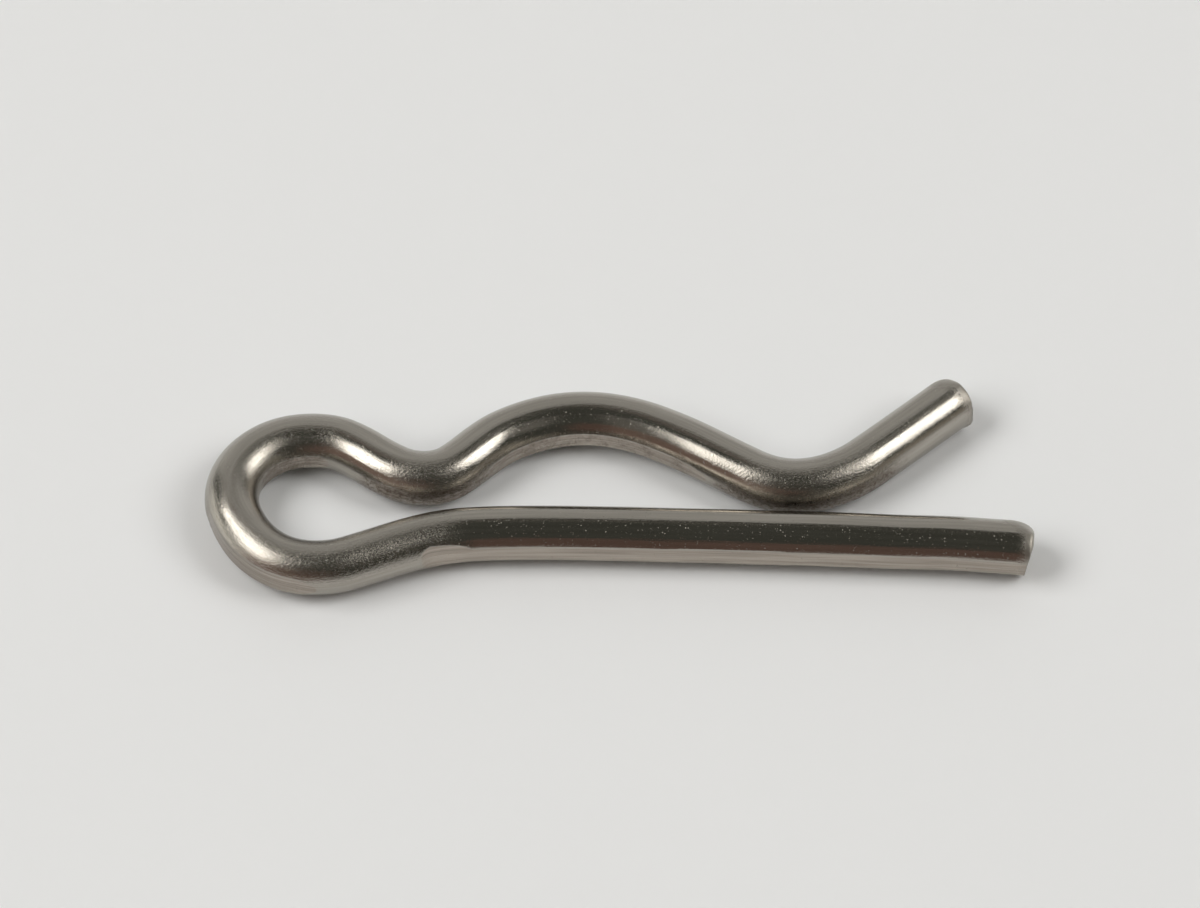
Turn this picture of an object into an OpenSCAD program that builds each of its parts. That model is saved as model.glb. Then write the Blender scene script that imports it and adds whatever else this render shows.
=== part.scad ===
// R-clip, also called a hitch pin clip or hairpin cotter: one length of round spring wire, bent flat.
// The straight leg goes through a cross hole in a shaft, and the wavy leg snaps round the outside of it.
// The clip lies on its side. The origin is where the shaft's axis meets the surface that the clip lies on,
// +X runs along the straight leg to its free end, and +Z is along the shaft's axis.

/* [Wire] */
// Diameter of the wire
wire_d = 1.83; // [1.2:0.01:2.4]
// How much thinner the wire draws as it is pulled round a bend, on the diameter
bend_thinning = 0.01; // [0.01:0.01:0.05]

/* [Shaft] */
// Diameter of the shaft that the clip snaps onto
shaft_d = 7.94; // [6.5:0.01:10]
// How much wider the hump is bent than the shaft, on the radius
hump_play = 0.1; // [0:0.05:0.8]
// How much lower the free hump sits than it does on the shaft, which is what makes it grip
hump_grip = 0.15; // [0:0.05:0.5]

/* [Straight leg] */
// Straight length, from the cut end to the bend beside the eye
leg_length = 16.75; // [12:0.05:24]
// Inside radius of the slow bend beside the eye
leg_bend_r = 11.5; // [6:0.1:16]
// Angle of the slow bend
leg_bend_angle = 24.5; // [12:0.5:32]
// Straight length between the slow bend and the eye
ramp_length = 1; // [0.2:0.1:3]

/* [Eye] */
// Inside radius of the half of the eye next to the straight leg
eye_front_r = 1.9; // [1.4:0.05:3]
// Angle of that half
eye_front_angle = 88; // [60:1:110]
// Straight length between the two halves of the eye
eye_flat_length = 0.2; // [0.1:0.1:1.5]
// Inside radius of the half of the eye next to the neck
eye_back_r = 1.55; // [1.2:0.05:2.6]

/* [Wavy leg] */
// Slope of the wire from the eye down to the neck
neck_slope = 28.5; // [22:0.5:36]
// Inside radius of the neck
neck_r = 0.75; // [0.5:0.05:1.4]
// Gap between the neck and the line of the straight leg
neck_gap = 0.2; // [0.1:0.05:0.6]
// Slope of the wire from the neck up to the hump
rise_slope = 40; // [32:0.5:46]
// Slope of the wire from the hump down to the mouth
fall_slope = 26.5; // [20:0.5:32]
// Inside radius of the bend at the mouth
mouth_r = 2.55; // [1.5:0.05:4]
// Gap between the wavy leg and the straight leg at the mouth
mouth_gap = 0.4; // [0.1:0.05:1]
// Slope of the flared tail
tail_slope = 43; // [30:0.5:55]
// Straight length of the tail, up to its cut end
tail_length = 4.25; // [2.5:0.05:7]

/* [Pressed flats] */
// Depth of the flat that the clamp presses into the straight leg where the slow bend starts
clamp_mark = 0.08; // [0.04:0.01:0.15]
// How far round the slow bend the clamp reaches
clamp_angle = 18.5; // [6:0.5:24]
// Depth of the flat that a round former presses into the inside of the eye and of the hump
former_mark = 0.05; // [0.02:0.01:0.1]

/* [Cut ends] */
// Radius of the rim that deburring leaves round a cut end
rim_r = 0.2; // [0.1:0.05:0.3]
// Radius that the blade rolls over on the side where it enters the wire
roll_r = 0.65; // [0.4:0.05:0.8]
// Slant of the torn half of a cut end, where the blade leaves the wire
tear_slant = 12; // [5:1:20]
// Direction that the blade enters from, measured up from the plane of the clip
blade_angle = 35; // [0:5:90]

/* [Hidden] */
$fn = 72;

wire_r = wire_d / 2;
bend_wire_r = wire_r - bend_thinning / 2;

// How far a straight run reaches into the bends at its ends
lap = 0.05;
// How far round a former is drawn past the places where it leaves the wire
former_spare = 3;

// Radii of the wire's centreline round each bend
leg_bend = leg_bend_r + wire_r;
eye_front = eye_front_r + wire_r;
eye_back = eye_back_r + wire_r;
neck = neck_r + wire_r;
hump = shaft_d / 2 + hump_play + wire_r;
mouth = mouth_r + wire_r;

// Distance of the centreline from the line of the straight leg, at the turning point of each wave
neck_y = wire_d + neck_gap;
hump_y = shaft_d / 2 - hump_grip + wire_r;
mouth_y = wire_d + mouth_gap;

// What an arc climbs while the wire's slope runs between level and the slope given
function climb(radius, slope) = radius * (1 - cos(slope));

// Slope of the flat of the eye, and the top of the eye's centreline
eye_flat_slope = 180 + leg_bend_angle - eye_front_angle;
eye_low_y = -climb(leg_bend + eye_front, leg_bend_angle) - ramp_length * sin(leg_bend_angle);
eye_top_y = eye_low_y + climb(eye_front, 180 - eye_flat_slope) + eye_flat_length * sin(eye_flat_slope)
    + climb(eye_back, eye_flat_slope);

// Straight runs of the wavy leg, as long as it takes to reach the next turning point
neck_run = (eye_top_y - neck_y - climb(eye_back + neck, neck_slope)) / sin(neck_slope);
rise_run = (hump_y - neck_y - climb(neck + hump, rise_slope)) / sin(rise_slope);
fall_run = (hump_y - mouth_y - climb(hump + mouth, fall_slope)) / sin(fall_slope);

// The bent wire from the straight leg to the tail: [straight run, radius of the bend after it, turn],
// where a turn to the left is positive. The two runs with a cut end are drawn by themselves.
route = [
    [0, leg_bend, leg_bend_angle],
    [ramp_length, eye_front, -eye_front_angle],
    [eye_flat_length, eye_back, -eye_flat_slope - neck_slope],
    [neck_run, neck, neck_slope + rise_slope],
    [rise_run, hump, -rise_slope - fall_slope],
    [fall_run, mouth, fall_slope + tail_slope],
];
hump_step = 4;
formed_steps = [1, 2, 4];

// Where the wire is after one step of the route. A place is [x, y, heading].
function after_run(place, run) =
    [place[0] + run * cos(place[2]), place[1] + run * sin(place[2]), place[2]];
function after_bend(place, radius, turn) =
    let (side = sign(turn), heading = place[2] + turn)
    [
        place[0] + side * radius * (sin(heading) - sin(place[2])),
        place[1] - side * radius * (cos(heading) - cos(place[2])),
        heading
    ];
function place_at(step) =
    step == 0
        ? [0, 0, 180]
        : after_bend(after_run(place_at(step - 1), route[step - 1][0]), route[step - 1][1], route[step - 1][2]);

// The slow bend starts here, so that the top of the hump is over the origin
hump_top = after_bend(after_run(place_at(hump_step), rise_run), hump, -rise_slope);
leg_start_x = -hump_top[0];

module run_of_wire(run) {
    translate([-lap, 0, 0])
        rotate([0, 90, 0])
            cylinder(r = wire_r, h = run + 2 * lap);
}

module bend_of_wire(radius, turn) {
    side = sign(turn);
    translate([0, side * radius, 0])
        rotate([0, 0, -90 * side])
            rotate_extrude(angle = turn)
                translate([radius, 0])
                    circle(r = bend_wire_r);
}

// Outline that turns into a wire with a rounded rim at its end
module rounded_wire_profile(run) {
    translate([0, -lap]) {
        square([wire_r, run - rim_r + lap]);
        square([wire_r - rim_r, run + lap]);
    }
    translate([wire_r - rim_r, run - rim_r])
        circle(r = rim_r);
}

// What the blade takes off the end: the rolled corner above and the torn slant below
module blade_waste() {
    bite = wire_d;
    translate([-roll_r, 0, wire_r - roll_r])
        difference() {
            translate([0, -bite, 0])
                cube([bite, 2 * bite, bite]);
            rotate([90, 0, 0])
                cylinder(r = roll_r, h = 3 * bite, center = true);
        }
    rotate([0, tear_slant, 0])
        translate([0, -bite, -2 * bite])
            cube([bite, 2 * bite, 2 * bite]);
}

// A straight run that starts at the origin and ends in a cut face, with the wire's run along +X
module cut_run(run) {
    difference() {
        rotate([0, 90, 0])
            rotate_extrude()
                rounded_wire_profile(run);
        translate([run, 0, 0])
            rotate([blade_angle - 90, 0, 0])
                blade_waste();
    }
}

// A round tool that stands inside a bend, pressed into the wire by the depth of its mark
module tool_inside(radius, turn, mark, overrun = 0) {
    side = sign(turn);
    tool_r = radius - wire_r;
    translate([0, side * radius, 0])
        rotate([0, 0, -side * (90 + overrun)])
            rotate_extrude(angle = turn + side * 2 * overrun)
                translate([tool_r / 2, -wire_d])
                    square([tool_r / 2 + mark, 2 * wire_d]);
}

// A former touches the straight runs beside its bend too, until they have left its round face
module former_inside(radius, turn) {
    tool_r = radius - wire_r;
    run_out = acos(tool_r / (tool_r + former_mark));
    tool_inside(radius, turn, former_mark, run_out + former_spare);
}

// The clamp's flat face along the straight leg. Its mark runs out at the cut end.
module clamp_face() {
    translate([0, clamp_mark - wire_r, 0])
        rotate([0, 0, -atan(clamp_mark / leg_length)])
            translate([0, -wire_d, -wire_d])
                cube([2 * leg_length, wire_d, 2 * wire_d]);
}

module bent_wire() {
    tail = place_at(len(route));
    cut_run(leg_length);
    for (step = [0 : len(route) - 1]) {
        place = place_at(step);
        run = route[step][0];
        translate([place[0], place[1], 0])
            rotate([0, 0, place[2]]) {
                if (run > 0)
                    run_of_wire(run);
                translate([run, 0, 0])
                    bend_of_wire(route[step][1], route[step][2]);
            }
    }
    translate([tail[0], tail[1], 0])
        rotate([0, 0, tail[2]])
            cut_run(tail_length);
}

module clip() {
    color([0.56, 0.54, 0.50])
        translate([leg_start_x, 0, wire_r])
            difference() {
                bent_wire();
                clamp_face();
                rotate([0, 0, 180])
                    tool_inside(leg_bend, clamp_angle, clamp_mark);
                for (step = formed_steps) {
                    place = place_at(step);
                    translate([place[0], place[1], 0])
                        rotate([0, 0, place[2]])
                            translate([route[step][0], 0, 0])
                                former_inside(route[step][1], route[step][2]);
                }
            }
}

clip();
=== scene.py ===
# %% [markdown]
# # A spring-wire R-clip
# An R-clip is a single length of round spring wire. One leg is straight and goes through a hole in a shaft.
# The other leg is bent into a wave, and its hump snaps round the outside of the shaft. It could be drawn as
# a curve with a round bevel, but a curve can't take a sheared end or a pressed flat. The real wire is first
# cut, then pressed against hard steel tools, and only then is it a clip. So this lesson makes it in that
# order: straight wire, cut ends, pressed marks, bends, and last the steel.

# %% Load the frame
import bisect
import math

import bmesh
import bpy
from mathutils import Matrix, Vector, noise


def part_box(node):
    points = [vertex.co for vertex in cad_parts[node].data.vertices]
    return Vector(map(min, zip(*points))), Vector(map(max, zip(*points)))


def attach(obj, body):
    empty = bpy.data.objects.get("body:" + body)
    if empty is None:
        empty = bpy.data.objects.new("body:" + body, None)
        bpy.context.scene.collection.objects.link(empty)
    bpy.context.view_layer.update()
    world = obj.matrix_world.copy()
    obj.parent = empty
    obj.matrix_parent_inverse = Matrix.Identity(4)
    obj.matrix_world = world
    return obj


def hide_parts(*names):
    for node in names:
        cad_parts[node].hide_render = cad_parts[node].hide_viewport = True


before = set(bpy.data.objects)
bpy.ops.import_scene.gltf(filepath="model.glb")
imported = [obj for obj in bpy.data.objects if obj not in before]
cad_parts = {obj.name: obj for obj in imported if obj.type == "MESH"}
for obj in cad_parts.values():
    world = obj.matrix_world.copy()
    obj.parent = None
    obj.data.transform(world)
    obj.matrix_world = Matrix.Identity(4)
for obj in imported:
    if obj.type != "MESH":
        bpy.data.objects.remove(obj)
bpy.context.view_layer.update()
lowest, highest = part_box("clip")
MM = 0.001
print("frame node clip, mm:", [round(side / MM, 3) for side in highest - lowest])

# %% [markdown]
# ## The sizes of the clip
# The shape is set by what the clip must do. The hump goes round a shaft, the neck and the mouth come close
# to the straight leg, and every slope between two of them is as long as it takes to get there. All the
# lengths could be typed in, but then a change to one bend would spoil the rest. So only the bends and the
# angles of the slopes are given, and the lengths of the slopes are worked out. Everything is in millimetres.
# A bend's radius is the inside radius plus half the wire, because the route follows the middle of the wire.

# %% Sizes of the wire and its bends
wire_d = (highest.z - lowest.z) / MM
wire_r = wire_d / 2
shaft_d = 7.94
hump_play = 0.1  # How much wider the hump is bent than the shaft, on the radius.
hump_grip = 0.15  # How much lower the free hump sits than on the shaft, which makes it grip.
neck_gap = 0.2
mouth_gap = 0.4
leg_length = 16.75
leg_bend_r = 11.5 + wire_r
leg_bend_angle = math.radians(24.5)
clamp_angle = math.radians(18.5)  # How far round the slow bend the clamp reaches.
ramp_length = 1.0
eye_front_r = 1.9 + wire_r
eye_front_angle = math.radians(88)
eye_flat_length = 0.2  # Between the two halves of the eye.
eye_back_r = 1.55 + wire_r
neck_slope = math.radians(28.5)
neck_r = 0.75 + wire_r
rise_slope = math.radians(40)
hump_r = shaft_d / 2 + hump_play + wire_r
fall_slope = math.radians(26.5)
mouth_r = 2.55 + wire_r
tail_slope = math.radians(43)
tail_length = 4.25

# %% Lengths of the slopes
neck_y = wire_d + neck_gap
hump_y = shaft_d / 2 - hump_grip + wire_r
mouth_y = wire_d + mouth_gap


def climb(radius, slope):
    """What an arc climbs while its slope runs between level and the slope given."""
    return radius * (1 - math.cos(slope))


eye_flat_slope = math.pi + leg_bend_angle - eye_front_angle
eye_low_y = -climb(leg_bend_r + eye_front_r, leg_bend_angle) - ramp_length * math.sin(leg_bend_angle)
eye_top_y = (
    eye_low_y
    + climb(eye_front_r, math.pi - eye_flat_slope)
    + eye_flat_length * math.sin(eye_flat_slope)
    + climb(eye_back_r, eye_flat_slope)
)
neck_run = (eye_top_y - neck_y - climb(eye_back_r + neck_r, neck_slope)) / math.sin(neck_slope)
rise_run = (hump_y - neck_y - climb(neck_r + hump_r, rise_slope)) / math.sin(rise_slope)
fall_run = (hump_y - mouth_y - climb(hump_r + mouth_r, fall_slope)) / math.sin(fall_slope)
print("slopes, mm:", round(neck_run, 3), round(rise_run, 3), round(fall_run, 3))

# %% [markdown]
# ## The route of the wire
# A bending machine reads its work as a list: feed so much wire, then bend it round a former by so many
# degrees. The route could be traced point by point instead, but the list is short and its bends are true
# arcs. It starts at the cut end of the straight leg, and a turn to the left is positive. Adding the steps up
# gives the place and the heading of the wire at any distance along it.

# %% Feeds and bends
route = [
    ("leg", leg_length, leg_bend_r, leg_bend_angle),
    ("ramp", ramp_length, eye_front_r, -eye_front_angle),
    ("eye", eye_flat_length, eye_back_r, -eye_flat_slope - neck_slope),
    ("neck", neck_run, neck_r, neck_slope + rise_slope),
    ("hump", rise_run, hump_r, -rise_slope - fall_slope),
    ("mouth", fall_run, mouth_r, fall_slope + tail_slope),
    ("tail", tail_length, 0.0, 0.0),
]
bend_starts = {}
bend_ends = {}
wire_length = 0.0
for name, run, radius, turn in route:
    bend_starts[name] = wire_length + run
    bend_ends[name] = bend_starts[name] + radius * abs(turn)
    wire_length = bend_ends[name]
print("wire length, mm:", round(wire_length, 2))


# %% Place and heading along the route
def route_place(distance):
    """Centre and heading of the wire at a distance along its route, with the cut end of the leg at 0."""
    centre = Vector((highest.x / MM, 0.0))
    heading = math.pi
    left = distance
    for _, run, radius, turn in route:
        step = min(left, run)
        centre += step * Vector((math.cos(heading), math.sin(heading)))
        left -= step
        if left <= 0:
            break
        arc = radius * abs(turn)
        angle = turn if left >= arc else math.copysign(left / radius, turn)
        swing = math.copysign(radius, turn)
        centre += swing * Vector(
            (
                math.sin(heading + angle) - math.sin(heading),
                math.cos(heading) - math.cos(heading + angle),
            )
        )
        heading += angle
        left -= min(left, arc)
        if left <= 0:
            break
    return centre, heading


print("the tail ends at, mm:", [round(c, 2) for c in route_place(wire_length)[0]])

# %% [markdown]
# ## Straight wire
# Wire is drawn through a round die, so it starts as a circle. A ready-made cylinder has rings at even
# distances, but a bend shows every corner and needs finer rings than a straight. So the circle is extruded
# once for every straight and every bend, and each stretch remembers how finely it must be cut. The cutting
# comes later, when both ends are done, because a bmesh works fastest while it is small.

# %% Extrude the straight wire
AROUND = 144
END_ZONE = 1.6

clip_mesh = bmesh.new()
across_the_wire = Matrix(((0, 0, 1), (1, 0, 0), (0, 1, 0))).to_4x4()
bmesh.ops.create_circle(
    clip_mesh,
    segments=AROUND,
    radius=wire_r,
    matrix=Matrix.Translation((END_ZONE, 0, 0)) @ across_the_wire,
)
first_ring = clip_mesh.edges[:]


def next_ring(edges, place):
    """Extrudes a ring of edges and moves the new ring with a matrix. Returns it and the edges on the way."""
    made = bmesh.ops.extrude_edge_only(clip_mesh, edges=edges)["geom"]
    verts = {item for item in made if isinstance(item, bmesh.types.BMVert)}
    ring = [e for e in made if isinstance(e, bmesh.types.BMEdge) and verts.issuperset(e.verts)]
    faces = [item for item in made if isinstance(item, bmesh.types.BMFace)]
    lengthwise = {e for face in faces for e in face.edges} - set(ring) - set(edges)
    bmesh.ops.transform(clip_mesh, matrix=place, verts=list(verts))
    return ring, list(lengthwise)


# %% Extrude every stretch
STRAIGHT_STEP = 0.2
BEND_STEP = 0.08

stretch_ends = []
for name, *_ in route[:-1]:
    stretch_ends += [(bend_starts[name], STRAIGHT_STEP), (bend_ends[name], BEND_STEP)]
stretch_ends.append((wire_length - END_ZONE, STRAIGHT_STEP))

stretches = []
slice_places = [END_ZONE]
reached = END_ZONE
last_ring = first_ring
for stretch_end, step in stretch_ends:
    length = stretch_end - reached
    pieces = math.ceil(length / step)
    last_ring, lengthwise = next_ring(last_ring, Matrix.Translation((length, 0, 0)))
    stretches.append((lengthwise, pieces - 1))
    slice_places += [reached + length * piece / pieces for piece in range(1, pieces + 1)]
    reached = stretch_end
print("stretches:", len(stretches), "places for slices:", len(slice_places))

# %% [markdown]
# ## Sheared ends
# A blade leaves its own marks on a cut wire. Where it comes in it rolls the corner over, then it shears a
# clean flat, and at the far side the last of the wire tears away at a slant. Deburring rounds the rim,
# except where the wire tore, and on the wavy leg a burr is left there. The ends could be carved with
# booleans, but those leave long thin faces that spoil a mirror. Here an end is a disc of rings, and two
# formulas say how far back any point of it lies: one for the corner, whose size changes round the rim, and
# one for the tear. The deeper of the two wins. A blade never cuts quite where the drawing says, so the tips
# lie up to a tenth of a millimetre off.

# %% Sizes of a cut face
LEG_END, TAIL_END = 1, -1  # The blade comes in from the right at the leg's end, from the left at the tail's.
BLADE_ANGLE = math.radians(35)
RIM_R = 0.14
TORN_RIM = 0.2  # What is left of the rim's radius where the wire tore.
ROLL_DEPTH = {LEG_END: 0.42, TAIL_END: 0.26}  # How far in and along the wire the corner is rolled over.
ROLL_LENGTH = {LEG_END: 0.85, TAIL_END: 0.6}
ROLL_REACH = 0.5  # The roll dies out 60 degrees round from the blade, and this is 1 - cos(60).
TEAR_START = 0.1  # The tear starts this far before the middle.
TEAR_SLANT = math.radians(14)
TEAR_BUMP = 0.02  # Height of the bumps on the torn part.
TEAR_BUMPS_PER_MM = 7
TEAR_BUMPS_RISE = 12  # How soon the bumps reach their full height as the tear gets deeper.
LEG_TOO_LONG = 0.06
TAIL_TOO_SHORT = 0.1

leg_tip = -LEG_TOO_LONG
tail_tip = wire_length - TAIL_TOO_SHORT
print("tips, mm along the wire:", leg_tip, "and", round(tail_tip, 2))

# %% How far back a cut face lies
ENDS_APART = 3  # The two ends read the noise this far apart, so that they tear differently.
TINY = 1e-6


def smooth(share):
    """Eases a share from 0 to 1."""
    share = min(max(share, 0.0), 1.0)
    return share * share * (3 - 2 * share)


def away_from_blade(y, z, blade_side):
    """How far a point of the section lies from the middle, away from the side where the blade came in."""
    return -blade_side * math.cos(BLADE_ANGLE) * y - math.sin(BLADE_ANGLE) * z


def rounded_corner(distance, inward, along):
    """Depth of a corner rounded so far inward from the skin and so far along the wire."""
    into = min(max((distance - (wire_r - inward)) / inward, 0.0), 1.0)
    return along * (1 - math.sqrt(1 - into * into))


def face_depth(y, z, blade_side):
    """How far the cut face lies back from the very end of the wire, at a point of the section."""
    from_middle = math.hypot(y, z)
    away = away_from_blade(y, z, blade_side)
    away_share = away / max(from_middle, TINY)
    rolled_share = smooth(1 - (1 + away_share) / ROLL_REACH)
    inward = RIM_R * (1 - (1 - TORN_RIM) * smooth(away_share))
    along = inward + (ROLL_LENGTH[blade_side] - inward) * rolled_share
    inward += (ROLL_DEPTH[blade_side] - inward) * rolled_share
    corner = rounded_corner(from_middle, inward, along)
    tear = max(TEAR_START + away, 0.0) * math.tan(TEAR_SLANT)
    spot = Vector((TEAR_BUMPS_PER_MM * y, TEAR_BUMPS_PER_MM * z, ENDS_APART * blade_side))
    bumps = TEAR_BUMP * noise.noise(spot) * min(tear * TEAR_BUMPS_RISE, 1.0)
    return max(corner, tear + bumps)


print("leg's end, mm back in the middle:", round(face_depth(0, 0, LEG_END), 3))

# %% Close both ends
END_RINGS = 14
RIM_RINGS = 8
FLAT_RINGS = 9
BURR_SIDE = 0.75  # The burr stands on what lies further than this share of the radius from the blade.
BURR_LENGTH = 0.3
BURR_BUMPS_PER_MM = 5
TAIL_BURR = 0.05  # How far the burr stands out.

rim_shares = [math.sin(math.pi / 2 * (1 - step / RIM_RINGS)) for step in range(RIM_RINGS + 1)]
face_radii = [wire_r - RIM_R * (1 - share) for share in rim_shares]
face_radii += [(wire_r - RIM_R) * (1 - step / FLAT_RINGS) for step in range(1, FLAT_RINGS)]


def ring_verts(ring):
    """The vertices of a ring of edges."""
    return {vert for edge in ring for vert in edge.verts}


def cut_end(ring, start, tip, blade_side, burr=0.0):
    """Continues a ring of the wire from a start to its tip, and closes it with a sheared face."""
    outward = 1 if blade_side == TAIL_END else -1
    end_verts = set()
    for step in range(END_RINGS):
        ring, _ = next_ring(ring, Matrix.Identity(4))
        share = (step + 1) / END_RINGS
        for vert in ring_verts(ring):
            face_x = tip - outward * face_depth(vert.co.y, vert.co.z, blade_side)
            vert.co.x = start + (face_x - start) * share
            end_verts.add(vert)
    for outer, inner in zip(face_radii, face_radii[1:]):
        ring, _ = next_ring(ring, Matrix.Diagonal((1, inner / outer, inner / outer, 1)))
        for vert in ring_verts(ring):
            vert.co.x = tip - outward * face_depth(vert.co.y, vert.co.z, blade_side)
            end_verts.add(vert)
    bmesh.ops.contextual_create(clip_mesh, geom=ring)
    for vert in end_verts:
        behind = (tip - vert.co.x) * outward - face_depth(vert.co.y, vert.co.z, blade_side)
        away_share = away_from_blade(vert.co.y, vert.co.z, blade_side) / wire_r
        far_side = smooth((away_share - BURR_SIDE) / (1 - BURR_SIDE))
        ragged = 1 + noise.noise(vert.co * BURR_BUMPS_PER_MM)
        grown = 1 + burr / wire_r * far_side * ragged * smooth(1 - behind / BURR_LENGTH)
        vert.co.yz = vert.co.yz * grown


cut_end(first_ring, END_ZONE, leg_tip, LEG_END)
cut_end(last_ring, wire_length - END_ZONE, tail_tip, TAIL_END, burr=TAIL_BURR)
print("open edges left:", sum(edge.is_boundary for edge in clip_mesh.edges))

# %% [markdown]
# ## Rings, slices and stock places
# Now the long faces are cut into rings. A finish could be laid on a wire by unrolling it flat, but that
# leaves a seam. Instead each vertex's place in this straight wire is kept in an attribute called stock. The
# draw lines and the grain are made in that space later, so that they follow the wire round its bends as they
# do on a real clip. Another attribute says where the wire is freshly cut, and three more wait for the marks,
# the grime and the bends. Vertices at one distance along the wire make a slice, and a whole sheared end goes
# with the slice beside it. Cutting leaves the vertices of a ring a hair apart along the wire, so each one is
# first moved exactly to the place of its slice.

# %% Cut the rings
for lengthwise, cuts in stretches:
    if cuts > 0:
        bmesh.ops.subdivide_edges(clip_mesh, edges=lengthwise, cuts=cuts)
print("faces:", len(clip_mesh.faces))

# %% Attributes and slices
CUT_FADE = 0.5  # How far along the skin the look of the cut fades, in millimetres.
NEAR = 0.01  # A vertex is nearer than this to its slice's place, and slices lie much further apart.


def cut_share(point):
    """1 on a cut face, and less along the skin of the wire next to it."""
    blade_side = LEG_END if point.x < wire_length / 2 else TAIL_END
    from_end = min(point.x - leg_tip, tail_tip - point.x)
    return smooth(1 - (from_end - face_depth(point.y, point.z, blade_side)) / CUT_FADE)


layers = clip_mesh.verts.layers
layers.float_vector.new("stock")
for name in ("pressed", "soiled", "bent", "cut"):
    layers.float.new(name)
stock = layers.float_vector["stock"]
pressed, soiled, bent, cut = (layers.float[name] for name in ("pressed", "soiled", "bent", "cut"))

slices = {place: [] for place in slice_places}
for vert in clip_mesh.verts:
    along = min(max(vert.co.x, END_ZONE), wire_length - END_ZONE)
    place = slice_places[bisect.bisect_left(slice_places, along - NEAR)]
    vert.co.x += place - along
    vert[stock] = vert.co
    vert[pressed] = -1.0
    vert[cut] = cut_share(vert.co)
    slices[place].append(vert)
print("slices:", len(slices), "fewest vertices in one:", min(len(verts) for verts in slices.values()))

# %% [markdown]
# ## Marks of the tools
# Wire is bent by hard steel tools that press on it from the side, and each leaves a flat: the clamp that
# holds the straight leg, whose edge bites deepest, the roller that wraps the wire round the eye, and the
# round formers inside the eye, the neck and the hump. The steel that a tool pushes aside stands up as a low
# lip beside its flat. A boolean would cut a flat, but it leaves no lip and no soft end. So every vertex that
# lies beyond the tool's face is moved back onto it. Grime gathers on the flats inside the wave, and two marks
# of no depth only smear it on below the neck and the mouth. How hard each vertex was pressed and how soiled
# it is are kept in two more attributes.

# %% What a mark is
RIGHT, LEFT = 0.0, math.pi  # Round the section, as one looks along the wire from the leg's cut end.


def mark(start, end, side, depth, lead_in, lead_out, tilt=0.0, end_depth=None, dirt=0.0):
    """A flat that a tool leaves along a stretch of wire. Depths and lengths are in millimetres."""
    return {
        "start": start,
        "end": end,
        "angle": side + math.radians(tilt) * (1 if side == RIGHT else -1),
        "depth": depth,
        "end_depth": depth if end_depth is None else end_depth,
        "lead_in": lead_in,
        "lead_out": lead_out,
        "dirt": dirt,
    }


def blunt(share):
    """Rises from 0 at once and eases to 1, which gives a flat a round nose."""
    share = min(max(share, 0.0), 1.0)
    return share * (2 - share)


def mark_strength(one, along):
    """How much of a mark there is at a distance along the wire: all of it in the middle, none outside."""
    return smooth((along - one["start"]) / one["lead_in"]) * blunt((one["end"] - along) / one["lead_out"])


# %% List the marks
clamp_edge = bend_starts["leg"] + leg_bend_r * clamp_angle
roller_start, roller_end = bend_starts["ramp"] + 0.9, bend_starts["eye"] + 0.75
eye_start, eye_end = bend_starts["eye"] + 1.6, bend_ends["eye"] - 0.2
hump_start, hump_end = bend_ends["neck"] + 0.5, bend_starts["mouth"] - 1.0
neck_start, neck_end = bend_starts["neck"], bend_ends["neck"]
mouth_start, mouth_end = bend_starts["mouth"], bend_ends["mouth"]

# Start, end, side, depth, and the lengths over which the mark comes in and goes out.
marks = [
    # The clamp's tilted edge, its flat round the slow bend, and its flat along the straight leg.
    mark(clamp_edge - 2.4, clamp_edge, LEFT, 0.03, 1.0, 0.5, tilt=9, end_depth=0.165),
    mark(6.0, clamp_edge - 0.6, LEFT, 0.08, 3.0, 0.9, end_depth=0.055),
    mark(0.2, 9.0, LEFT, 0.045, 0.9, 3.0, end_depth=0.08),
    # The roller on the outside of the eye, and the formers inside the eye and the hump.
    mark(roller_start, roller_end, LEFT, 0.09, 0.9, 0.35),
    mark(eye_start, eye_end, RIGHT, 0.05, 0.8, 0.8, dirt=0.75),
    mark(hump_start, hump_end, RIGHT, 0.055, 0.8, 1.6, dirt=0.7),
    # The former at the neck, which touches twice.
    mark(neck_start - 0.5, neck_start + 0.7, RIGHT, 0.03, 0.5, 0.6, tilt=9),
    mark(neck_start + 0.9, neck_end + 0.3, RIGHT, 0.03, 0.6, 0.6, tilt=-7),
    # Smears of grime below the neck and the mouth.
    mark(neck_start - 1.8, neck_end + 1.6, RIGHT, 0.0, 1.8, 1.6, tilt=-12, dirt=1.3),
    mark(mouth_start - 2.0, mouth_end + 1.5, RIGHT, 0.0, 2.0, 1.8, tilt=-15, dirt=1.25),
]
print("marks:", len(marks), "clamp's edge at, mm:", round(clamp_edge, 2))

# %% Press the marks
FADE_DEPTH = 0.02  # A flat shallower than this no longer looks rubbed.
LIP_SHARE = 0.2  # A lip's height as a share of the flat's depth, up to the most it can be.
LIP_MOST = 0.014
LIP_WIDTH = 0.14
NO_LIP = 1.0  # Further from the edge than any lip reaches.
SKIN = 0.9  # Beyond this share of the radius a vertex belongs to the skin, and not to a cut face.
SMEAR_WIDTH = math.cos(math.radians(60))  # Grime reaches 60 degrees round from a tool's side.

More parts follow.
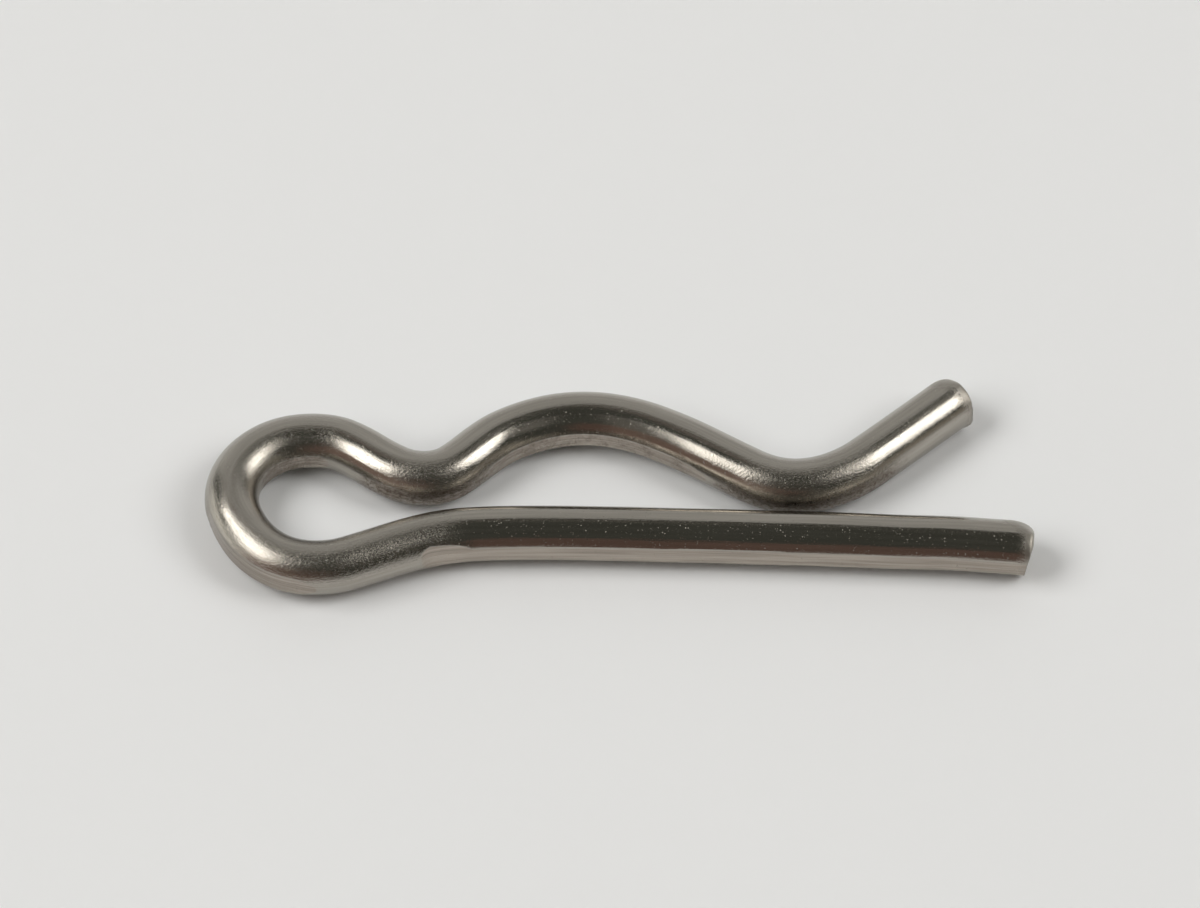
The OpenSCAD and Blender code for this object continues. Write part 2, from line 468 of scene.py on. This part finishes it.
for along, verts in slices.items():
    for one in marks:
        strength = mark_strength(one, along)
        if not strength:
            continue
        share = (along - one["start"]) / (one["end"] - one["start"])
        depth = strength * (one["depth"] + (one["end_depth"] - one["depth"]) * share)
        fade = max(FADE_DEPTH - depth, 0.0)
        face = Vector((0, math.cos(one["angle"]), math.sin(one["angle"])))
        edge = math.acos(1 - depth / wire_r)
        lip = min(LIP_SHARE * depth, LIP_MOST)
        for vert in verts:
            towards = vert.co.dot(face)
            nearness = smooth((towards / wire_r - SMEAR_WIDTH) / (1 - SMEAR_WIDTH))
            vert[soiled] = max(vert[soiled], one["dirt"] * strength * nearness)
            beyond = towards - (wire_r - depth)
            vert[pressed] = max(vert[pressed], beyond - fade)
            if beyond > 0:
                vert.co -= beyond * face
            elif depth > 0:
                skin = Vector((0, vert.co.y, vert.co.z))
                on_skin = skin.length > SKIN * wire_r
                past_edge = (skin.angle(face) - edge) * wire_r if on_skin else NO_LIP
                vert.co += lip * math.exp(-max(past_edge, 0.0) / LIP_WIDTH) * skin.normalized()
print("vertices on a pressed flat:", sum(vert[pressed] > 0 for vert in clip_mesh.verts))

# %% [markdown]
# ## Bending
# A bending machine carries each bit of wire to its place and turns it, and so does this step, one slice at a
# time. A curve modifier would bend the wire in one go, but it leaves no say over single slices. Spring steel
# never springs back evenly, so the wire strays a little from its route. The strays are a table in
# micrometres, eased from one to the next. Stretched steel goes grainy like orange peel, so each bend is given
# its own share of grain, kept in an attribute called bent. The slow bend is grainy only from the clamp's edge
# on, and the short ramp after it is as grainy as the bends on both its sides.

# %% Strays from the route
STRAY_STEP = 0.75  # Distance between the entries of the table, in millimetres.
STRAY_EASE = 0.5
STRAY_LOOK = 0.05  # How far ahead and back the slope of the strays is measured.
STRAY = [
    125, 100, 57, 16, -7, 7, 10, -5, -17, -24, -31, -24, -15, -18, -25, -14, -14, -13, -13, -4,
    5, 13, 42, 68, 58, 16, -29, -33, -9, 6, -18, -64, -90, -76, -46, -52, -38, -4, 33, 46,
    3, -45, -66, -89, -44, 83, 95, -22, 13, 48, -34, -76, 32, 62, -8, -30, -43, -56, -62, -68,
    -45, 17, 47, 26, -19, -40, -68, -89, -52, -1, 47, 40, 15, 6, -6, -18, -14, -47, -97,
]


def stray_along(distance):
    """How far the wire strays to the left of its route, in millimetres."""
    steps_away = [(distance - i * STRAY_STEP) / STRAY_EASE for i in range(len(STRAY))]
    near = [math.exp(-0.5 * step**2) for step in steps_away]
    micrometres = sum(share * stray for share, stray in zip(near, STRAY)) / sum(near)
    return micrometres / 1000


def place_along(distance):
    """The wire's place and heading with the strays that springing back leaves in it."""
    centre, heading = route_place(distance)
    stray = stray_along(distance)
    rise = stray_along(distance + STRAY_LOOK) - stray_along(distance - STRAY_LOOK)
    centre += stray * Vector((-math.sin(heading), math.cos(heading)))
    return centre, heading + math.atan(rise / (2 * STRAY_LOOK))


print("widest stray, micrometres:", max(abs(stray) for stray in STRAY))

# %% Grain of the bends
BLEND = 0.7  # Half the length over which the grain comes and goes.
WORN_GRAIN = 0.25
BEND_GRAIN = {"leg": 1.4, "ramp": 1.45, "eye": 1.05, "neck": 1.6, "hump": 0.35, "mouth": 1.3}
grain_starts = dict(bend_starts, leg=clamp_edge - 1.5, ramp=bend_ends["leg"] - 2 * BLEND)


def grain_along(distance):
    """How grainy the wire's skin is there: a little all over the wavy leg, and more in every bend."""
    grain = WORN_GRAIN if distance > bend_starts["eye"] else 0.0
    for name, share in BEND_GRAIN.items():
        inside = smooth((distance - grain_starts[name] + BLEND) / (2 * BLEND))
        inside *= smooth((bend_ends[name] - distance + BLEND) / (2 * BLEND))
        grain = max(grain, inside * share)
    return grain


print("grain in the neck:", round(grain_along((bend_starts["neck"] + bend_ends["neck"]) / 2), 2))

# %% Bend the wire
flip_side = Matrix.Diagonal((1, -1, 1, 1))  # The straight wire's +Y side is the right of the route.
for along, verts in slices.items():
    centre, heading = place_along(along)
    turned = Matrix.Rotation(heading, 4, "Z") @ flip_side
    moved = Matrix.Translation((centre.x, centre.y, wire_r))
    place = moved @ turned @ Matrix.Translation((-along, 0, 0))
    grainy = grain_along(along)
    for vert in verts:
        vert.co = place @ vert.co
        vert[bent] = grainy

bmesh.ops.scale(clip_mesh, vec=(MM, MM, MM), verts=clip_mesh.verts)
bmesh.ops.recalc_face_normals(clip_mesh, faces=clip_mesh.faces)
for face in clip_mesh.faces:
    face.smooth = True
print("bent clip, mm high:", round(max(vert.co.z for vert in clip_mesh.verts) / MM, 3))

# %% Make it one piece
clip_data = bpy.data.meshes.new("clip_wire")
clip_mesh.to_mesh(clip_data)
clip_mesh.free()
clip = bpy.data.objects.new("clip_wire", clip_data)
bpy.context.scene.collection.objects.link(clip)
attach(clip, "root")
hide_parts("clip")
print("triangles:", sum(len(p.vertices) - 2 for p in clip_data.polygons))

# %% [markdown]
# ## Steel
# Drawn spring steel is a mirror with a skin: fine lines along the wire, small pits, and a grain where the
# wire was stretched. A picture of steel could be wrapped round it, but a mirror shows its surroundings, and
# a picture never changes with them. So the steel is a plain metallic shader, and what makes it look used is
# in its height, its roughness and its tint. Each effect is a node group with named inputs, so that it can be
# tried alone or used again. First come small helpers that add one node each.


# %% Helpers for groups and sums
def new_group(name, inputs, outputs):
    """An empty shader node group with named inputs and outputs, and its two end nodes."""
    group = bpy.data.node_groups.new(name, "ShaderNodeTree")
    for label, kind, value in inputs:
        socket = group.interface.new_socket(label, in_out="INPUT", socket_type=kind)
        if value is not None:
            socket.default_value = value
    for label, kind in outputs:
        group.interface.new_socket(label, in_out="OUTPUT", socket_type=kind)
    print("node group:", name)
    return group, group.nodes.new("NodeGroupInput"), group.nodes.new("NodeGroupOutput")


def feed(tree, socket, value):
    """Gives a socket its value, which is a number or another socket."""
    if isinstance(value, (int, float)):
        socket.default_value = value
    else:
        tree.links.new(value, socket)


def math_node(tree, operation, *values, clamp=False):
    """A Math node. Each value is a number or a socket."""
    node = tree.nodes.new("ShaderNodeMath")
    node.operation = operation
    node.use_clamp = clamp
    for socket, value in zip(node.inputs, values):
        feed(tree, socket, value)
    return node.outputs[0]


# %% Helpers for textures and colours
def stretched(tree, vector, scale):
    """The vector with each of its axes scaled."""
    node = tree.nodes.new("ShaderNodeMapping")
    node.inputs["Scale"].default_value = scale
    tree.links.new(vector, node.inputs["Vector"])
    return node.outputs["Vector"]


def noise_node(tree, vector, scale, detail, roughness, distortion=0.0):
    """A Noise texture. Scale is a number or a socket. Returns its 0 to 1 value."""
    node = tree.nodes.new("ShaderNodeTexNoise")
    node.inputs["Detail"].default_value = detail
    node.inputs["Roughness"].default_value = roughness
    node.inputs["Distortion"].default_value = distortion
    feed(tree, node.inputs["Scale"], scale)
    tree.links.new(vector, node.inputs["Vector"])
    return node.outputs["Fac"]


def between(tree, value, low, high):
    """0 where the value is low, 1 where it is high, eased in between."""
    node = tree.nodes.new("ShaderNodeMapRange")
    node.interpolation_type = "SMOOTHSTEP"
    node.inputs["From Min"].default_value = low
    node.inputs["From Max"].default_value = high
    tree.links.new(value, node.inputs["Value"])
    return node.outputs["Result"]


def color_mix(tree, share, first, second):
    """Mixes two colours, each written as red, green and blue or given as a socket."""
    node = tree.nodes.new("ShaderNodeMix")
    node.data_type = "RGBA"
    tree.links.new(share, node.inputs["Factor"])
    for name, value in (("A", first), ("B", second)):
        if isinstance(value, tuple):
            node.inputs[name].default_value = (*value, 1)
        else:
            tree.links.new(value, node.inputs[name])
    return node.outputs["Result"]


# %% [markdown]
# ### Draw lines
# The die scratches the wire along its whole length. The scratches could be modelled, but they are a few
# micrometres deep and there are hundreds of them. Noise that is stretched along the wire gives the same look
# through the bump alone: fine lines, and broader ones that also serve as streaks of tint.

# %% Draw lines
FINE_LINES = (0.5, 26, 26)  # Scales along the wire and across it.
BROAD_LINES = (0.25, 9, 9)
BROAD_HEIGHT = 1.5

lines_group, start, end = new_group(
    "draw_lines",
    [("Vector", "NodeSocketVector", None), ("Depth", "NodeSocketFloat", 1.0)],
    [("Height", "NodeSocketFloat"), ("Streaks", "NodeSocketFloat")],
)
fine_place = stretched(lines_group, start.outputs["Vector"], FINE_LINES)
fine = noise_node(lines_group, fine_place, 1.0, detail=3.0, roughness=0.6)
broad_place = stretched(lines_group, start.outputs["Vector"], BROAD_LINES)
broad = noise_node(lines_group, broad_place, 1.0, detail=3.0, roughness=0.6)
both = math_node(lines_group, "ADD", fine, math_node(lines_group, "MULTIPLY", broad, BROAD_HEIGHT))
deep = math_node(lines_group, "MULTIPLY", both, start.outputs["Depth"])
lines_group.links.new(deep, end.inputs["Height"])
lines_group.links.new(broad, end.inputs["Streaks"])

# %% [markdown]
# ### Orange-peel grain
# Where the wire is stretched round a bend its crystals stand up and the skin sparkles. More roughness would
# only blur the mirror evenly. Steep little bumps each catch a light of their own, which is what a sparkle is,
# so the grain is a height too. Its grains are a little longer along the wire than across.

# %% Orange-peel grain
GRAIN_STRETCH = (0.7, 1, 1)

grain_group, start, end = new_group(
    "grain",
    [
        ("Vector", "NodeSocketVector", None),
        ("Size", "NodeSocketFloat", 0.05),
        ("Height", "NodeSocketFloat", 1.0),
    ],
    [("Height", "NodeSocketFloat")],
)
per_mm = math_node(grain_group, "DIVIDE", 1.0, start.outputs["Size"])
grain_place = stretched(grain_group, start.outputs["Vector"], GRAIN_STRETCH)
grains = noise_node(grain_group, grain_place, per_mm, detail=3.0, roughness=0.7, distortion=0.3)
high = math_node(grain_group, "MULTIPLY", grains, start.outputs["Height"])
grain_group.links.new(high, end.inputs["Height"])

# %% [markdown]
# ### Pits
# Small pits are scattered over drawn wire and flash where their walls face a light. They could be single
# dents in the mesh, but there are thousands. Cells of a Voronoi texture are scattered points already: each
# cell has a random colour, and its red says whether it holds a pit and its green how wide the pit is.

# %% Pits
PIT_LEAST = 0.1  # The narrowest pit, and how much wider a pit can be, as shares of a cell.
PIT_SPREAD = 0.24

pits_group, start, end = new_group(
    "pits",
    [
        ("Vector", "NodeSocketVector", None),
        ("Per millimetre", "NodeSocketFloat", 8.0),
        ("Share", "NodeSocketFloat", 0.3),
    ],
    [("Pits", "NodeSocketFloat")],
)
cells = pits_group.nodes.new("ShaderNodeTexVoronoi")
cells.feature = "F1"
pits_group.links.new(start.outputs["Vector"], cells.inputs["Vector"])
pits_group.links.new(start.outputs["Per millimetre"], cells.inputs["Scale"])
chosen = pits_group.nodes.new("ShaderNodeSeparateColor")
pits_group.links.new(cells.outputs["Color"], chosen.inputs["Color"])
kept = math_node(pits_group, "LESS_THAN", chosen.outputs["Red"], start.outputs["Share"])
pit_size = math_node(pits_group, "MULTIPLY_ADD", chosen.outputs["Green"], PIT_SPREAD, PIT_LEAST)
from_rim = math_node(pits_group, "DIVIDE", cells.outputs["Distance"], pit_size)
pit_depth = math_node(pits_group, "SUBTRACT", 1.0, from_rim, clamp=True)
pits_group.links.new(math_node(pits_group, "MULTIPLY", kept, pit_depth), end.inputs["Pits"])

# %% [markdown]
# ### Grime
# Old oil holds dust where fingers and cloths don't reach. A single dark tint would look like paint, because
# real grime is patchy and full of flecks. So a patchy noise is cut off at a level that sinks as the amount
# grows, and a finer noise breaks up what is left.

# %% Grime
PATCH_STRETCH = (0.6, 1, 1)
PATCHES_PER_MM = 2.4
PATCH_LEVEL = 0.75  # The level that clean steel never reaches, and how far full grime lowers it.
LEVEL_DROP = 0.5
EDGE_STEEPNESS = 3.0
FLECKS_PER_MM = 9.0
FLECKS_FROM, FLECKS_TO = 0.38, 0.62
FLECK_SHARE = 0.6

grime_group, start, end = new_group(
    "grime",
    [("Vector", "NodeSocketVector", None), ("Amount", "NodeSocketFloat", 0.5)],
    [("Grime", "NodeSocketFloat")],
)
patch_place = stretched(grime_group, start.outputs["Vector"], PATCH_STRETCH)
patches = noise_node(grime_group, patch_place, PATCHES_PER_MM, detail=6.0, roughness=0.75)
level = math_node(grime_group, "MULTIPLY_ADD", start.outputs["Amount"], -LEVEL_DROP, PATCH_LEVEL)
above = math_node(grime_group, "SUBTRACT", patches, level)
dense = math_node(grime_group, "MULTIPLY", above, EDGE_STEEPNESS, clamp=True)
fleck_noise = noise_node(grime_group, start.outputs["Vector"], FLECKS_PER_MM, detail=4.0, roughness=0.8)
flecks = between(grime_group, fleck_noise, FLECKS_FROM, FLECKS_TO)
thick = math_node(grime_group, "MULTIPLY_ADD", flecks, FLECK_SHARE, 1 - FLECK_SHARE)
grime_group.links.new(math_node(grime_group, "MULTIPLY", dense, thick), end.inputs["Grime"])

# %% [markdown]
# ### The wire's steel
# Now the groups come together on the wire. Heights are written in micrometres, as a workshop measures a
# finish, and one bump node adds them up: separate bumps would each bend the normal of the last. The five
# attributes of the mesh say where the steel is pressed, bent, soiled and cut, and where it is on the wire.


# %% Start the steel
def use_group(tree, group, **values):
    """Places a node group. Each value is a number or a socket."""
    node = tree.nodes.new("ShaderNodeGroup")
    node.node_tree = group
    for label, value in values.items():
        feed(tree, node.inputs[label.replace("_", " ")], value)
    return node


def attribute(tree, name, output="Fac"):
    """A mesh attribute of the piece."""
    node = tree.nodes.new("ShaderNodeAttribute")
    node.attribute_name = name
    return node.outputs[output]


steel = bpy.data.materials.new("spring_steel")
steel.use_nodes = True
tree = steel.node_tree
shader = tree.nodes["Principled BSDF"]
shader.inputs["Metallic"].default_value = 1.0
where = attribute(tree, "stock", "Vector")
bent_here = attribute(tree, "bent")
pressed_here = attribute(tree, "pressed")
soiled_here = attribute(tree, "soiled")
cut_here = attribute(tree, "cut")
clip_data.materials.append(steel)
print("material:", steel.name)

# %% Height of the skin, in micrometres
LINE_DEPTH = 2.0
GRAIN_SIZE = 0.055  # This one is in millimetres.
GRAIN_HEIGHT, GRAIN_BENT, GRAIN_CUT = 2.2, 8.0, 16.0
PITS_PER_MM = 12.0
PIT_DEPTH = 6.0
PIT_SHARE, PIT_SHARE_CUT = 0.33, 0.5
LIP_HEIGHT = 2.0
GRIME_HEIGHT = 6.0
EDGE_WIDTH = 0.006  # How hard the steel is pressed, in millimetres, before it looks quite flat.

lines = use_group(tree, lines_group, Vector=where, Depth=LINE_DEPTH)
grain_height = math_node(tree, "MULTIPLY_ADD", bent_here, GRAIN_BENT, GRAIN_HEIGHT)
grain_height = math_node(tree, "MULTIPLY_ADD", cut_here, GRAIN_CUT, grain_height)
grain = use_group(tree, grain_group, Vector=where, Size=GRAIN_SIZE, Height=grain_height)
pit_share = math_node(tree, "MULTIPLY_ADD", cut_here, PIT_SHARE_CUT, PIT_SHARE)
pits = use_group(tree, pits_group, Vector=where, Per_millimetre=PITS_PER_MM, Share=pit_share)
grime = use_group(tree, grime_group, Vector=where, Amount=soiled_here)
flat = between(tree, pressed_here, 0.0, EDGE_WIDTH)
from_lip = math_node(tree, "MULTIPLY_ADD", pressed_here, 1 / EDGE_WIDTH, 1.0)
lip = math_node(tree, "SUBTRACT", 1.0, math_node(tree, "ABSOLUTE", from_lip), clamp=True)

height = math_node(tree, "ADD", lines.outputs["Height"], grain.outputs["Height"])
height = math_node(tree, "MULTIPLY_ADD", lip, LIP_HEIGHT, height)
height = math_node(tree, "MULTIPLY_ADD", pits.outputs["Pits"], -PIT_DEPTH, height)
height = math_node(tree, "MULTIPLY_ADD", grime.outputs["Grime"], GRIME_HEIGHT, height)
bump = tree.nodes.new("ShaderNodeBump")
bump.inputs["Strength"].default_value = 1.0
bump.inputs["Distance"].default_value = MM * MM  # One micrometre, in metres.
tree.links.new(height, bump.inputs["Height"])
tree.links.new(bump.outputs["Normal"], shader.inputs["Normal"])
print("nodes up to the height:", len(tree.nodes))

# %% Roughness
STEEL_ROUGH = 0.11
FLAT_ROUGH = 0.06  # What each adds to the bare steel's roughness.
BENT_ROUGH = 0.02
DULL_ROUGH = 0.22
CUT_ROUGH = 0.2
GRIME_ROUGH = 0.36
DULL_PER_MM = 8.0  # Dull spots, and which part of their noise counts as dull.
DULL_FROM, DULL_TO = 0.55, 0.75

dull_noise = noise_node(tree, where, DULL_PER_MM, detail=4.0, roughness=0.8)
dull = between(tree, dull_noise, DULL_FROM, DULL_TO)
rough = math_node(tree, "MULTIPLY_ADD", flat, FLAT_ROUGH, STEEL_ROUGH)
rough = math_node(tree, "MULTIPLY_ADD", bent_here, BENT_ROUGH, rough)
rough = math_node(tree, "MULTIPLY_ADD", dull, DULL_ROUGH, rough)
rough = math_node(tree, "MULTIPLY_ADD", cut_here, CUT_ROUGH, rough)
rough = math_node(tree, "MULTIPLY_ADD", grime.outputs["Grime"], GRIME_ROUGH, rough)
tree.links.new(rough, shader.inputs["Roughness"])
print("nodes up to the roughness:", len(tree.nodes))

# %% Colour
BARE_STEEL = (0.352, 0.328, 0.291), (0.418, 0.392, 0.351)
RUBBED_STEEL = (0.292, 0.256, 0.22), (0.467, 0.418, 0.366)
GRIME_COLOR = (0.16, 0.128, 0.103)
STREAKS_FROM, STREAKS_TO = 0.3, 0.7

streaks = between(tree, lines.outputs["Streaks"], STREAKS_FROM, STREAKS_TO)
bare = color_mix(tree, streaks, *BARE_STEEL)
rubbed = color_mix(tree, streaks, *RUBBED_STEEL)
clean = color_mix(tree, flat, bare, rubbed)
toned = color_mix(tree, grime.outputs["Grime"], clean, GRIME_COLOR)
tree.links.new(toned, shader.inputs["Base Color"])
print("nodes in the steel:", len(tree.nodes))

# %% [markdown]
# ## A small studio
# Polished wire can only look like steel if there is something to mirror. A ready-made sky would do for a
# matt thing, but the bands along a wire are simply what stands round it, seen in a round mirror, so each
# band is made by a card of its own. The clip lies on a pale sheet. Two soft boxes light it from the left
# and the right, with grey screens and wings round them. A grey card stands behind, a pale wall and a
# darker one at the sides, and brown curtains hang in front.


# %% Helpers for the studio
def direction(azimuth, elevation):
    """A direction from the clip. Azimuth 0 is +X and 90 is +Y, in degrees."""
    a, e = math.radians(azimuth), math.radians(elevation)
    return Vector((math.cos(a) * math.cos(e), math.sin(a) * math.cos(e), math.sin(e)))


def plain_surface(name, color, glow=0.0):
    """A plain matt material for the studio, which may glow by itself."""
    material = bpy.data.materials.new(name)
    material.use_nodes = True
    shader = material.node_tree.nodes["Principled BSDF"]
    shader.inputs["Base Color"].default_value = (*color, 1)
    shader.inputs["Roughness"].default_value = 1.0
    shader.inputs["Specular IOR Level"].default_value = 0.0
    if glow:
        shader.inputs["Emission Color"].default_value = (*color, 1)
        shader.inputs["Emission Strength"].default_value = glow
    return material


def stage_piece(name, mesh, material):
    """Turns a bmesh into a piece of the stage."""
    data = bpy.data.meshes.new(name)
    mesh.to_mesh(data)
    mesh.free()
    data.materials.append(material)
    piece = bpy.data.objects.new(name, data)
    bpy.context.scene.collection.objects.link(piece)
    print("stage:", name)


# %% Floor
FLOOR_R = 1.5
PALE_SHEET = (0.89, 0.903, 0.92)

floor_mesh = bmesh.new()
bmesh.ops.create_circle(floor_mesh, segments=96, radius=FLOOR_R, cap_ends=True)
stage_piece("floor", floor_mesh, plain_surface("pale_sheet", PALE_SHEET))

# %% [markdown]
# ### Cards
# A flat card gets farther from the clip towards its sides, and its reflection bends. So a card here is a
# piece of a cylinder round the clip, made by spinning one upright edge, and its place is written as the
# clip sees it: from one azimuth to another, and from one elevation to another, in degrees. All of them glow
# a little, so that the tone of each is mostly its own.

# %% Cards that the wire mirrors
CARD_GLOW = 1.0
CARD_STEPS = 32
CARDS = [
    # Name, azimuths, elevations, distance in metres, colour
    ("grey_card", (46, 138), (0, 58.8), 1.2, (0.425, 0.425, 0.415)),
    ("pale_wall", (150, 200), (0, 15), 1.25, (0.9, 0.9, 0.86)),
    ("brown_curtain", (200, 255), (0, 34), 1.2, (0.194, 0.14, 0.119)),
    ("dark_brown_curtain", (255, 281), (0, 34), 1.2, (0.122, 0.083, 0.07)),
    ("right_wall", (314, 408), (0, 20), 1.25, (0.238, 0.221, 0.195)),
    ("right_screen", (300, 336), (40, 73), 1.3, (0.172, 0.167, 0.156)),
    ("left_screen", (222, 252), (36, 74), 1.3, (0.16, 0.155, 0.143)),
    ("right_wing", (27, 66), (60, 73), 1.35, (0.26, 0.255, 0.24)),
    ("left_wing", (98, 132), (59, 74), 1.35, (0.22, 0.2, 0.185)),
]


def standing_card(name, azimuths, elevations, distance, color):
    """A card curved about the clip, between two azimuths and two elevations as the clip sees it."""
    mesh = bmesh.new()
    foot, top = (distance * math.tan(math.radians(e)) for e in elevations)
    corner = direction(azimuths[0], 0) * distance
    edge = [mesh.verts.new((corner.x, corner.y, z)) for z in (foot, top)]
    rail = mesh.edges.new(edge)
    bmesh.ops.spin(
        mesh,
        geom=edge + [rail],
        cent=(0, 0, 0),
        axis=(0, 0, 1),
        angle=math.radians(azimuths[1] - azimuths[0]),
        steps=CARD_STEPS,
    )
    stage_piece(name, mesh, plain_surface(name, color, CARD_GLOW))


for card in CARDS:
    standing_card(*card)

# %% [markdown]
# ### Soft boxes
# A soft box is a bright sheet, and its outline shows in every highlight of the wire. Area lamps are square
# or round, so the boxes are glowing faces, whose corners can be set one by one.

# %% Soft boxes
BOX_DISTANCE = 0.6
WARM_WHITE = (0.9, 0.8865, 0.8595)
LEFT_CORNERS = [(145, 58), (207, 64), (214, 53), (219, 39), (214, 31), (205, 32), (162, 33)]
RIGHT_CORNERS = [(-17, 28), (18, 28), (22, 45), (17, 65), (-8, 65), (-18, 48)]


def soft_box(name, middle, corners, glow):
    """A glowing sheet that faces the clip. Its middle and corners are azimuths and elevations."""
    towards = direction(*middle)
    mesh = bmesh.new()
    outline = []
    for corner in corners:
        ray = direction(*corner)
        outline.append(mesh.verts.new(ray * BOX_DISTANCE / ray.dot(towards)))
    bmesh.ops.contextual_create(mesh, geom=outline)
    stage_piece(name, mesh, plain_surface(name, WARM_WHITE, glow))


soft_box("left_box", (182, 51), LEFT_CORNERS, glow=4.3)
soft_box("right_box", (1, 44), RIGHT_CORNERS, glow=4.15)

# %% Dark room
ROOM_COLOR = (0.082, 0.084, 0.073, 1)
world = bpy.data.worlds.new("dark_room")
world.use_nodes = True
world.node_tree.nodes["Background"].inputs["Color"].default_value = ROOM_COLOR
world.node_tree.nodes["Background"].inputs["Strength"].default_value = 1.0
bpy.context.scene.world = world
bpy.context.scene.view_settings.view_transform = "Standard"
print("world:", world.name)

# %% [markdown]
# ## Camera
# A small thing on a table is looked at from in front and above. A short lens close by would swell the near
# leg, so the camera stands a third of a metre off with a long lens, and the clip keeps its true proportions.
# Its place is given as a direction from the point it looks at, which is easier to read than coordinates.

# %% Place the camera
SENSOR_WIDTH = 36  # Lengths are in millimetres, and angles in degrees.
LENS = 293.574
CAMERA_AZIMUTH = -87.707
CAMERA_ELEVATION = 55.27
CAMERA_DISTANCE = 330.9
CAMERA_ROLL = -0.303
LOOKS_AT = (0.344, 3.873, 0)

camera_data = bpy.data.cameras.new("camera")
camera_data.sensor_width = SENSOR_WIDTH
camera_data.lens = LENS
camera_data.clip_start = 0.01
camera = bpy.data.objects.new("camera", camera_data)
back = direction(CAMERA_AZIMUTH, CAMERA_ELEVATION)
camera.matrix_world = (
    Matrix.Translation((Vector(LOOKS_AT) + back * CAMERA_DISTANCE) * MM)
    @ back.to_track_quat("Z", "Y").to_matrix().to_4x4()
    @ Matrix.Rotation(math.radians(CAMERA_ROLL), 4, "Z")
)
bpy.context.scene.collection.objects.link(camera)
bpy.context.scene.camera = camera
print("camera at, m:", [round(c, 4) for c in camera.matrix_world.translation])
